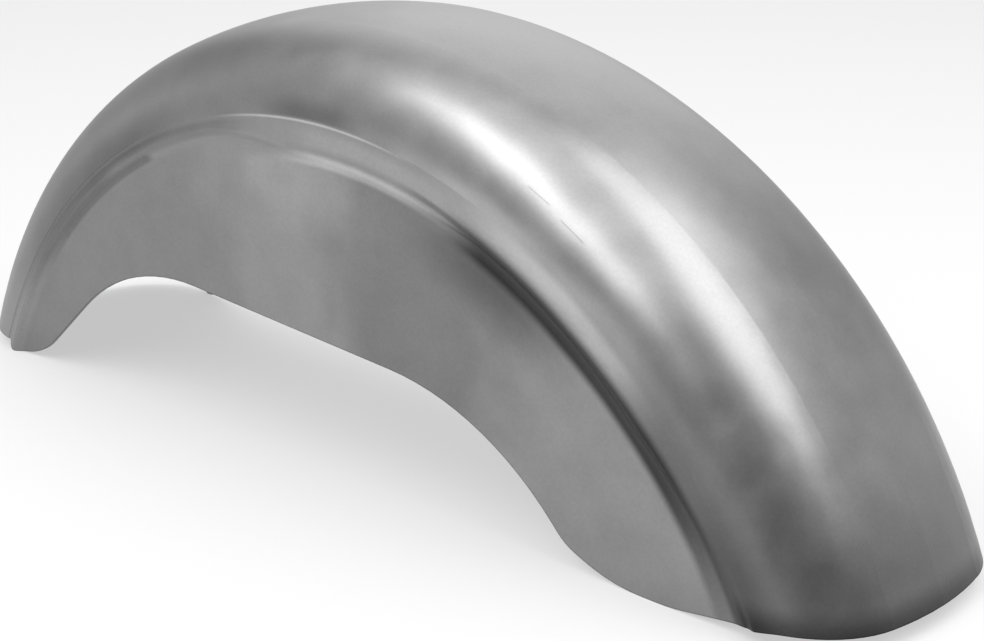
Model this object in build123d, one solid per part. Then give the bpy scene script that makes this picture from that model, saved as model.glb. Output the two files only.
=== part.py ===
from build123d import *
import os
from math import atan2, cos, radians, sin, sqrt, tan

# Rear fender of a motorcycle: one shell of raw steel sheet, pressed and welded, with no holes drilled yet.
# Millimetres. +X points to the tail, +Y to the right of the motorcycle and +Z up.
# The origin is on the bench under the middle of the fender, which stands on its four lower lobes.
# Angles are degrees about the wheel axle, from the tail (+X) over the top to the front.

# Sheet
sheet = 2.0

# Crown: a wide arc across the tyre that runs into a tighter arc at each shoulder
crown_radius = 402.7
crown_width = 178.0
crown_cross_radius = 210.0
shoulder_radius = 59.5
axle_below_feet = 132.6

# Flank: the crown leaves the shoulder arc this many degrees short of upright and runs down to its lip
flank_lean = 10.0

# Flat side panels: how far their outer faces lie inside the crown's widest point
panel_inset = 5.0

# Lip at the foot of the flank: its drop from the top of the flank, and how far it stands out over the panel
lip_drop_tail = 7.8
lip_drop_rear = 14.6
lip_drop_top = 21.1
lip_drop_front = 6.6
lip_out_tail = 2.0
lip_out_rear = 6.5
lip_out_top = 3.0
lip_out_front = 5.0

# Angles where the lip reaches its tail and front form, and between which it keeps its rear and top form
tail_angle = 24.0
rear_low_angle = 46.0
rear_high_angle = 64.0
top_low_angle = 77.0
top_high_angle = 88.0
front_angle = 106.0

# Joggle from the lip in to the panel: the height its steep part alone would need, and the ramp that ends it
joggle_height = 8.0
ramp_share = 0.12
ramp_slope = 3.0

# Inside radii of the bends in the sheet at the lip and at the hollow under it
lip_bend = 2.5
hollow_bend = 14.0

# Crease along the top of the flank over the wheel: how far the sheet turns in there, and how far it runs
crease_turn = 16.0
crease_angle = 89.0
crease_reach = 18.0

# Groove in the same place along the front, which leaves the lip below it as a round bead
groove_turn = 45.0
groove_start_angle = 114.0
groove_full_angle = 120.0

# Lower edge of the panels: heights above the feet, distances behind (+) and ahead (-) of the axle
edge_height = 84.1
edge_slope = 3.6
rear_fall_x = 202.9
rear_fall_slope = 46.0
rear_sweep_radius = 190.0
throat_radius = 36.0
heel_offset = 19.9
heel_slope = 22.0
heel_radius = 110.0
tail_foot_length = 40.0
tail_foot_radius = 120.0
tail_rise_slope = 8.0
tail_edge_height = 9.7
tail_edge_radius = 60.0
front_fall_x = -290.6
front_fall_slope = 42.0
arch_radius = 158.0
front_sweep_radius = 60.0
front_foot_slope = 8.0
lobe_reach = 27.9
lobe_corner_radius = 5.5
front_edge_height = 8.0
notch_radius = 1.5

# Construction: span and spacing of the crown's sections, and how far shapes run past what they cut or join
first_angle = 14.0
last_angle = 166.0
station_spacing = 4.0
overrun_angle = 2.0
clear = 30.0
lap = 3.0

crown_centre = crown_radius - crown_cross_radius
shoulder_y = crown_width / 2 - shoulder_radius
shoulder_reach = crown_cross_radius - shoulder_radius
shoulder_r = crown_centre + sqrt(shoulder_reach**2 - shoulder_y**2)
flank_r = shoulder_r + shoulder_radius * sin(radians(flank_lean))
panel_y = crown_width / 2 - panel_inset
axle = Vector(0, 0, -axle_below_feet)


def ramp(angle, start, end):
    """Smooth rise from 0 at one angle to 1 at another."""
    share = min(max((angle - start) / (end - start), 0.0), 1.0)
    return share * share * (3.0 - 2.0 * share)


def along(angle, tail, rear, top, front):
    """Value at one angle of a size that has its own amount at the tail, the rear, the top and the front."""
    to_tail = (tail - rear) * ramp(angle, rear_low_angle, tail_angle)
    to_top = (top - rear) * ramp(angle, rear_high_angle, top_low_angle)
    to_front = (front - top) * ramp(angle, top_high_angle, front_angle)
    return rear + to_tail + to_top + to_front


def spoke(angle):
    """Plane through the axle: its X is the fender's Y, and its Y runs out along the radius."""
    return Plane(axle, x_dir=(0, 1, 0), z_dir=(sin(radians(angle)), 0, -cos(radians(angle))))


def crown_section(angle, inset):
    """Closed section of the crown at one angle, inset from the outer skin."""
    cross = crown_cross_radius - inset
    tilt = Vector(shoulder_y, shoulder_r - crown_centre).normalized()
    half_tilt = (tilt + Vector(0, 1)).normalized()
    crown_middle = Vector(0, crown_centre) + half_tilt * cross
    crown_end = Vector(0, crown_centre) + tilt * cross

    bend = shoulder_radius - inset
    lean = Vector(cos(radians(flank_lean)), sin(radians(flank_lean)))
    shoulder_middle = Vector(shoulder_y, shoulder_r) + (tilt + lean).normalized() * bend
    flank_start = Vector(shoulder_y, shoulder_r) + lean * bend

    lip_out = along(angle, lip_out_tail, lip_out_rear, lip_out_top, lip_out_front)
    lip_drop = along(angle, lip_drop_tail, lip_drop_rear, lip_drop_top, lip_drop_front)
    lip_start = Vector(panel_y + lip_out - inset, flank_r - lip_drop)

    crease = crease_turn * ramp(abs(angle - crease_angle), crease_reach, 0.0)
    groove = groove_turn * ramp(angle, groove_start_angle, groove_full_angle)
    flank_turn = radians(flank_lean - crease - groove)
    flank_tangent = (sin(flank_turn), -cos(flank_turn))

    steep = atan2(lip_out, joggle_height)
    gentle = radians(ramp_slope)
    lip_turn = Vector(1 - cos(steep), sin(steep))
    hollow_turn = Vector(cos(gentle) - cos(steep), sin(steep) - sin(gentle))
    taken_in = lip_turn.X * (lip_bend + sheet) + hollow_turn.X * hollow_bend + ramp_share * lip_out
    steep_length = (lip_out - taken_in) / sin(steep)
    lip_end = lip_start - lip_turn * (lip_bend + sheet - inset)
    hollow_start = lip_end - Vector(sin(steep), cos(steep)) * steep_length
    hollow_end = hollow_start - hollow_turn * (hollow_bend + inset)
    root = hollow_end - Vector(sin(gentle), cos(gentle)) * clear

    half_edges = [
        ThreePointArc((0, crown_radius - inset), crown_middle, crown_end),
        ThreePointArc(crown_end, shoulder_middle, flank_start),
        Spline(flank_start, lip_start, tangents=[flank_tangent, (0, -1)]),
        TangentArc(lip_start, lip_end, tangent=(0, -1)),
        Line(lip_end, hollow_start),
        TangentArc(hollow_start, hollow_end, tangent=hollow_start - lip_end),
        Line(hollow_end, root),
        Line(root, (0, root.Y)),
    ]
    other_edges = [mirror(edge, about=Plane.YZ) for edge in half_edges]
    return spoke(angle) * make_face(half_edges + other_edges)


def crown(inset, overrun):
    """Crown as a solid lofted along the arc, run on past both ends by an angle."""
    start = first_angle - overrun
    span = last_angle + overrun - start
    count = round(span / station_spacing)
    return loft([crown_section(start + span * i / count, inset) for i in range(count + 1)])


def panels(inset):
    """Disc about the axle whose two flat faces are the faces of the side panels."""
    disc_radius = flank_r - lip_drop_front - lap - inset
    return Pos(axle) * Cylinder(disc_radius, 2 * (panel_y - inset), rotation=(90, 0, 0))


def form(inset, overrun):
    """Fender as a full solid, inset from the outer skin."""
    return crown(inset, overrun) + panels(inset)


def line(x, z, slope):
    """Line of the side view through a point: its height at the axle, and its rise for each length."""
    rise = tan(radians(slope))
    return z - x * rise, rise


def crossing(first, second):
    """Point where two lines of the side view cross."""
    x = (second[0] - first[0]) / (first[1] - second[1])
    return x, first[0] + first[1] * x


def side_outline():
    """Region of the side view that the fender keeps: all above its lower edge, out past the crown."""
    reach = crown_radius + clear
    heel_x = rear_fall_x + heel_offset
    tail_foot_x = heel_x + tail_foot_length
    lobe_front_x = front_fall_x - lobe_reach
    ground = line(0, 0, 0)
    tail_edge = line(0, tail_edge_height, 0)
    tail_rise = line(tail_foot_x, 0, tail_rise_slope)
    heel = line(heel_x, 0, -heel_slope)
    rear_fall = line(rear_fall_x, 0, -rear_fall_slope)
    lower_edge = line(0, edge_height, -edge_slope)
    front_fall = line(front_fall_x, 0, front_fall_slope)
    lobe_turn = radians(front_foot_slope)
    foot_x = lobe_front_x + lobe_corner_radius * (1 + sin(lobe_turn))
    front_foot = line(foot_x, lobe_corner_radius * (1 - cos(lobe_turn)), front_foot_slope)
    corners = [
        (crossing(tail_edge, tail_rise), tail_edge_radius),
        (crossing(tail_rise, ground), tail_foot_radius),
        (crossing(ground, heel), heel_radius),
        (crossing(heel, rear_fall), throat_radius),
        (crossing(rear_fall, lower_edge), rear_sweep_radius),
        (crossing(lower_edge, front_fall), arch_radius),
        (crossing(front_fall, front_foot), front_sweep_radius),
        ((lobe_front_x, front_foot[0] + front_foot[1] * lobe_front_x), lobe_corner_radius),
        ((lobe_front_x, front_edge_height), notch_radius),
    ]
    tail_end = (reach, tail_edge_height)
    front_end = (-reach, front_edge_height)
    points = [tail_end] + [point for point, _ in corners] + [front_end]
    lower = FilletPolyline(*points, radius=[radius for _, radius in corners])
    upper = Polyline(front_end, (-reach, reach), (reach, reach), tail_end)
    return Plane.XZ * make_face(lower.edges() + upper.edges())


def make_fender():
    """Outer form, trimmed to the side outline and hollowed by the inner form, set on the bench."""
    keep = extrude(side_outline(), amount=crown_width, both=True)
    shell = (form(0.0, 0.0) & keep) - form(sheet, overrun_angle)
    box = shell.bounding_box()
    return Pos(-box.center().X, 0, -box.min.Z) * shell


os.makedirs("parts", exist_ok=True)
export_step(make_fender(), "parts/fender.step")
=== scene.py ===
from math import cos, pi, radians, sin
from typing import NamedTuple

import bpy
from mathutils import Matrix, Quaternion, Vector

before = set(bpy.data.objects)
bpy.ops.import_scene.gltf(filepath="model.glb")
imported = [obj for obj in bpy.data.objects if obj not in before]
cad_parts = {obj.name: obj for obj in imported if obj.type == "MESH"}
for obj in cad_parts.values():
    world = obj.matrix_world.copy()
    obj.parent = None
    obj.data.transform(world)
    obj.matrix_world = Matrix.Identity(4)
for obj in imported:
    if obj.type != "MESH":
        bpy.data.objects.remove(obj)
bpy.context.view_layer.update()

# Camera, set to the photograph's angle and field of view
AIM = Vector((0.0595, 0.0, 0.0893))
DISTANCE = 1.244
AZIMUTH = 42.605
ELEVATION = 19.535
LENS = 75.66

# Surroundings: the direction in which they are brightest, and their level by the cosine away from it
BRIGHT_AZIMUTH = -143.0
BRIGHT_ELEVATION = 35.0
FALL_OFF = [(-1.0, 0.05), (-0.5, 0.24), (0.0, 0.68), (0.5, 0.88), (0.8, 0.6), (1.0, 1.7)]


class Softbox(NamedTuple):
    """Rectangular lamp that faces the aim point from a direction, rolled about its own axis."""
    name: str
    azimuth: float
    elevation: float
    distance: float
    width: float
    height: float
    roll: float
    radiance: float


SOFTBOXES = [
    Softbox("key", -9.0, 48.5, 2.0, 1.75, 0.57, -39.5, 5.2),
    Softbox("tail", 103.5, 59.5, 1.9, 2.05, 1.25, 46.0, 3.2),
    Softbox("overhead", -10.0, 69.5, 2.0, 1.25, 2.4, 61.0, 1.1),
    Softbox("low", -19.0, 3.5, 2.1, 0.9, 0.3, 10.0, 5.2),
]

# Floor: its size, its grey and the level of its own glow
FLOOR_SIZE = 40.0
FLOOR_COLOR = 0.3
FLOOR_GLOW = 0.53

# Steel: its tone, its roughness from shiny to dull, and how far clouds and grain change the tone
STEEL = 0.272
SHINY = 0.33
DULL = 0.39
CLOUD_TONE = 0.05
GRAIN_TONE = 0.04

# Painted shade along the cut edges: their width, how much darker they are, and the cosines at which that
# starts and is full
RIM_WIDTH = 0.0012
RIM_SHADE_DEPTH = 0.75
RIM_COSINES = (0.99, 0.9)

# Noise: features to a metre and levels of finer detail, and the range that most of its values lie in
CLOUDS = (40.0, 4.0)
GRAIN = (600.0, 2.0)
PLANISHING = (20.0, 1.0)
# Noise that makes the edges of the painted patches wander
PATCH_WANDER = (18.0, 2.0)
NOISE_RANGE = (0.3, 0.7)

# Height of the hammered waves over the whole range of their noise
WAVES = 0.0012

# Places on the sheet are told by their radius from the wheel axle, their angle about it from the tail over
# the top, their side, which is the distance from the middle plane, and their height above the feet. These
# lengths are millimetres. A span says where a patch starts, is full, is last full and has ended.
MILLIMETRES = 1000.0
AXLE_Z = -0.1326
OPEN = (None, None)
ANYWHERE = (*OPEN, *OPEN)
FLANKS = (70.0, 80.0, *OPEN)
TAIL_RADII = (335.0, 345.0, *OPEN)
TAIL_ANGLES = (*OPEN, 40.0, 60.0)

# Painted shade in the hollow under the lip: the radii of its upper and lower edges at two angles
HOLLOW_SHADE_DEPTH = 0.82
HOLLOW_SHADE_ANGLES = (16.0, 40.0, 66.0, 73.0)
HOLLOW_SHADE_EDGE_ANGLES = (30.0, 54.0)
HOLLOW_SHADE_UPPER = (341.0, 337.4)
HOLLOW_SHADE_LOWER = (324.0, 318.6)
HOLLOW_SHADE_FADE = 3.5


class Patch(NamedTuple):
    """Place where the sheet is darker by a depth, or lighter where that is negative.

    Its angle wanders by up to a drift in degrees.
    """
    name: str
    depth: float
    radius: tuple
    angle: tuple
    side: tuple = FLANKS
    height: tuple = ANYWHERE
    drift: float = 0.0


PATCHES = [
    # Painted shade in and around the grooves of the front bead
    Patch("over_bead", 0.36, (343.0, 348.0, 350.0, 372.0), (106.0, 120.0, 136.0, 156.0)),
    Patch("bead", 0.24, (337.0, 343.0, 346.0, 350.0), (94.0, 108.0, 138.0, 154.0)),
    Patch("under_bead", 0.38, (334.0, 337.0, 338.5, 342.0), (115.8, 117.4, 134.0, 148.0)),
    Patch("bead_foot", 0.18, (339.0, 341.0, 344.0, 347.0), (121.0, 127.0, 140.0, 150.0)),
    # Painted shade above the crease and a painted highlight along it
    Patch("over_crease", 0.38, (350.5, 352.5, 354.0, 366.0), (82.0, 89.0, 91.0, 99.0)),
    Patch("crease", -0.7, (348.8, 349.8, 350.2, 351.2), (76.0, 85.0, 94.0, 106.0)),
    # Painted shade high on the flank and a painted highlight lower on it
    Patch("upper_flank", 0.32, (347.0, 353.0, 356.0, 367.0), (40.0, 52.0, 58.0, 70.0)),
    Patch("lower_flank", -0.25, (333.0, 338.0, 342.0, 350.0), (64.0, 76.0, 84.0, 96.0)),
    # Painted shade along the seam and a painted highlight on the ridge under it
    Patch("seam_line", 0.36, (331.5, 333.3, 334.8, 336.6), (66.0, 70.5, 73.0, 79.0)),
    Patch("ridge", -0.7, (322.0, 326.0, 329.0, 333.0), (70.0, 80.0, 88.0, 98.0)),
    # Painted shade on the panel under the seam, and a painted reflection lighter on the panel further
    # forward
    Patch("shade_under_seam", 0.45, (282.0, 314.0, 316.0, 326.0), (50.0, 62.0, 64.0, 80.0)),
    Patch("shaded_panel", 0.25, (*OPEN, 322.0, 330.0), (50.0, 66.0, 78.0, 95.0), drift=4.0),
    Patch("bright_panel", -0.2, (265.0, 310.0, 322.0, 330.0), (80.0, 90.0, 94.0, 104.0), drift=4.0),
    Patch("scratch", 0.35, (374.5, 375.0, 375.0, 375.5), (62.5, 63.0, 65.0, 65.5)),
    Patch("scratch", 0.35, (373.0, 373.5, 373.5, 374.0), (58.0, 58.5, 60.8, 61.3)),
    # Painted shade on the front of the panel, on the front of the crown and on the nose
    Patch("front_panel", 0.14, (*OPEN, 333.0, 338.0), (105.0, 113.0, *OPEN), drift=4.0),
    Patch("front_crown", 0.2, (366.0, 382.0, *OPEN), (88.0, 102.0, *OPEN), side=ANYWHERE, drift=4.0),
    Patch("nose", 0.18, (352.0, 366.0, *OPEN), (116.0, 136.0, *OPEN), side=ANYWHERE, drift=4.0),
    # Painted shade on the tail's flank and lower crown, darkest along its rim
    Patch("tail_flank", 0.45, (333.0, 338.0, 352.0, 370.0), (*OPEN, 41.0, 53.0)),
    Patch("tail", 0.32, TAIL_RADII, TAIL_ANGLES, side=ANYWHERE, height=(*OPEN, 25.0, 85.0)),
    Patch("tail_rim", 0.6, TAIL_RADII, TAIL_ANGLES, side=ANYWHERE, height=(*OPEN, 10.0, 26.0)),
]


def grey(level):
    """Opaque grey colour."""
    return (level, level, level, 1.0)


def add_node(tree, kind, inputs=(), **settings):
    """Node with its settings, whose inputs are constants or other nodes' sockets."""
    made = tree.nodes.new(kind)
    for name, value in settings.items():
        setattr(made, name, value)
    for key, value in inputs:
        if isinstance(value, bpy.types.NodeSocket):
            tree.links.new(value, made.inputs[key])
        else:
            made.inputs[key].default_value = value
    return made


def calc(tree, operation, *values):
    """Result of one arithmetic operation."""
    return add_node(tree, "ShaderNodeMath", enumerate(values), operation=operation).outputs[0]


def spread(tree, value, start, end, to_start, to_end, blend="LINEAR"):
    """Change of a value from one span to another, held at its ends."""
    names = ("Value", "From Min", "From Max", "To Min", "To Max")
    inputs = zip(names, (value, start, end, to_start, to_end))
    return add_node(tree, "ShaderNodeMapRange", inputs, interpolation_type=blend).outputs["Result"]


def ease(tree, value, start, end):
    """Smooth rise from 0 to 1 as a value goes from a start to an end, which may lie below it."""
    if start < end:
        return spread(tree, value, start, end, 0.0, 1.0, "SMOOTHSTEP")
    return spread(tree, value, end, start, 1.0, 0.0, "SMOOTHSTEP")


def every(tree, *values):
    """Product of several values."""
    result = values[0]
    for value in values[1:]:
        result = calc(tree, "MULTIPLY", result, value)
    return result


def within(tree, value, span):
    """Factors that are 1 inside a span and 0 outside it, one for each end that isn't open."""
    start, full, last_full, end = span
    rise = [] if start is None else [ease(tree, value, start, full)]
    fall = [] if end is None else [ease(tree, value, end, last_full)]
    return rise + fall


def dim(tree, tone, share, depth):
    """Tone made darker by a depth where a share is 1."""
    return every(tree, tone, calc(tree, "SUBTRACT", 1.0, every(tree, share, depth)))


def noise(tree, place, scale, detail):
    """Cloudy value about a half."""
    inputs = [("Vector", place), ("Scale", scale), ("Detail", detail)]
    return add_node(tree, "ShaderNodeTexNoise", inputs).outputs["Fac"]


def dot(tree, first, second):
    """Dot product of two vectors."""
    inputs = [(0, first), (1, second)]
    return add_node(tree, "ShaderNodeVectorMath", inputs, operation="DOT_PRODUCT").outputs["Value"]


def direction(azimuth, elevation):
    """Unit vector towards an azimuth counted from -Y to +X, and an elevation."""
    level = cos(radians(elevation))
    return Vector((sin(radians(azimuth)) * level, -cos(radians(azimuth)) * level, sin(radians(elevation))))


def look_from(thing, place, aim, roll=0.0):
    """Place an object and turn its -Z axis to a point, with +Y up, then roll it about that axis."""
    thing.location = place
    turn = (aim - place).to_track_quat("-Z", "Y") @ Quaternion((0.0, 0.0, 1.0), radians(roll))
    thing.rotation_euler = turn.to_euler()


def add_camera():
    """Camera at the photograph's place."""
    data = bpy.data.cameras.new("camera")
    data.lens = LENS
    camera = bpy.data.objects.new("camera", data)
    bpy.context.scene.collection.objects.link(camera)
    look_from(camera, AIM + direction(AZIMUTH, ELEVATION) * DISTANCE, AIM)
    bpy.context.scene.camera = camera


def add_softbox(box):
    """Lamp whose power gives its face the radiance asked for."""
    data = bpy.data.lights.new(box.name, "AREA")
    data.shape = "RECTANGLE"
    data.size = box.width
    data.size_y = box.height
    data.energy = box.radiance * box.width * box.height * pi
    lamp = bpy.data.objects.new(box.name, data)
    bpy.context.scene.collection.objects.link(lamp)
    look_from(lamp, AIM + direction(box.azimuth, box.elevation) * box.distance, AIM, box.roll)


def add_world():
    """White surroundings whose level follows the fall-off."""
    world = bpy.data.worlds.new("studio")
    world.use_nodes = True
    tree = world.node_tree
    place = add_node(tree, "ShaderNodeTexCoord").outputs["Generated"]
    towards = dot(tree, place, direction(BRIGHT_AZIMUTH, BRIGHT_ELEVATION))
    level = FALL_OFF[0][1]
    for (start, low), (end, high) in zip(FALL_OFF, FALL_OFF[1:]):
        level = calc(tree, "ADD", level, spread(tree, towards, start, end, 0.0, high - low))
    background = tree.nodes["Background"]
    background.inputs["Color"].default_value = grey(1.0)
    tree.links.new(level, background.inputs["Strength"])
    bpy.context.scene.world = world


def add_floor():
    """Pale matt floor that glows a little."""
    bpy.ops.mesh.primitive_plane_add(size=FLOOR_SIZE)
    floor = bpy.context.object
    floor.name = "floor"
    material = bpy.data.materials.new("pale_floor")
    material.use_nodes = True
    shader = material.node_tree.nodes["Principled BSDF"]
    shader.inputs["Base Color"].default_value = grey(FLOOR_COLOR)
    shader.inputs["Roughness"].default_value = 1.0
    shader.inputs["Specular IOR Level"].default_value = 0.0
    shader.inputs["Emission Color"].default_value = grey(1.0)
    shader.inputs["Emission Strength"].default_value = FLOOR_GLOW
    floor.data.materials.append(material)


def hollow_shade(tree, radius, angle, side):
    """Share of painted shade in the hollow, whose edges come closer to the axle over the wheel."""
    shares = within(tree, angle, HOLLOW_SHADE_ANGLES) + within(tree, side, FLANKS)
    for edge, fade in ((HOLLOW_SHADE_UPPER, -HOLLOW_SHADE_FADE), (HOLLOW_SHADE_LOWER, HOLLOW_SHADE_FADE)):
        past_edge = calc(tree, "SUBTRACT", radius, spread(tree, angle, *HOLLOW_SHADE_EDGE_ANGLES, *edge))
        shares.append(ease(tree, past_edge, -fade, fade))
    return every(tree, *shares)


def tone_with_scratches_and_painted_light(tree, place):
    """Tone of the sheet, with the painted shade in the hollow and the patches on it: painted shade and
    highlights, and two scratches.
    """
    x, y, z = add_node(tree, "ShaderNodeSeparateXYZ", [(0, place)]).outputs
    rise = calc(tree, "SUBTRACT", z, AXLE_Z)
    reach = calc(tree, "SQRT", calc(tree, "ADD", every(tree, x, x), every(tree, rise, rise)))
    radius = every(tree, reach, MILLIMETRES)
    angle = calc(tree, "DEGREES", calc(tree, "ARCTAN2", rise, x))
    side = every(tree, calc(tree, "ABSOLUTE", y), MILLIMETRES)
    height = every(tree, z, MILLIMETRES)
    wander = spread(tree, noise(tree, place, *PATCH_WANDER), *NOISE_RANGE, -1.0, 1.0)

    # Painted shade in the hollow under the lip darkens the steel's tone
    tone = dim(tree, STEEL, hollow_shade(tree, radius, angle, side), HOLLOW_SHADE_DEPTH)
    # Each patch but the scratches is painted shade, or a painted highlight where its depth is negative
    for patch in PATCHES:
        about = calc(tree, "MULTIPLY_ADD", wander, patch.drift, angle)
        shares = within(tree, radius, patch.radius) + within(tree, about, patch.angle)
        shares += within(tree, side, patch.side) + within(tree, height, patch.height)
        tone = dim(tree, tone, every(tree, *shares), patch.depth)
        tone.node.label = patch.name
    return tone


def steel():
    """Bare sheet with painted shade and highlights, two scratches, clouds, grain, painted shade on the cut
    edges and slight hammered waves.
    """
    material = bpy.data.materials.new("raw_steel")
    material.use_nodes = True
    tree = material.node_tree
    shader = tree.nodes["Principled BSDF"]
    shader.inputs["Metallic"].default_value = 1.0
    geometry = add_node(tree, "ShaderNodeNewGeometry").outputs
    place = geometry["Position"]
    clouds = noise(tree, place, *CLOUDS)
    grain = noise(tree, place, *GRAIN)
    cloud_tone = spread(tree, clouds, *NOISE_RANGE, 1.0 - CLOUD_TONE, 1.0 + CLOUD_TONE)
    grain_tone = spread(tree, grain, *NOISE_RANGE, 1.0 - GRAIN_TONE, 1.0 + GRAIN_TONE)
    tone = every(tree, tone_with_scratches_and_painted_light(tree, place), cloud_tone, grain_tone)
    # Painted shade along the cut edges, where the rounded normal leans away from the true one
    rounded = add_node(tree, "ShaderNodeBevel", [("Radius", RIM_WIDTH)]).outputs["Normal"]
    rim_shade = ease(tree, dot(tree, rounded, geometry["Normal"]), *RIM_COSINES)
    tree.links.new(dim(tree, tone, rim_shade, RIM_SHADE_DEPTH), shader.inputs["Base Color"])
    tree.links.new(spread(tree, clouds, *NOISE_RANGE, SHINY, DULL), shader.inputs["Roughness"])
    inputs = [("Strength", 1.0), ("Distance", WAVES), ("Height", noise(tree, place, *PLANISHING))]
    tree.links.new(add_node(tree, "ShaderNodeBump", inputs).outputs["Normal"], shader.inputs["Normal"])
    return material


bpy.context.scene.view_settings.view_transform = "Standard"
add_camera()
add_world()
add_floor()
for softbox in SOFTBOXES:
    add_softbox(softbox)
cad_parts["fender"].material_slots[0].material = steel()
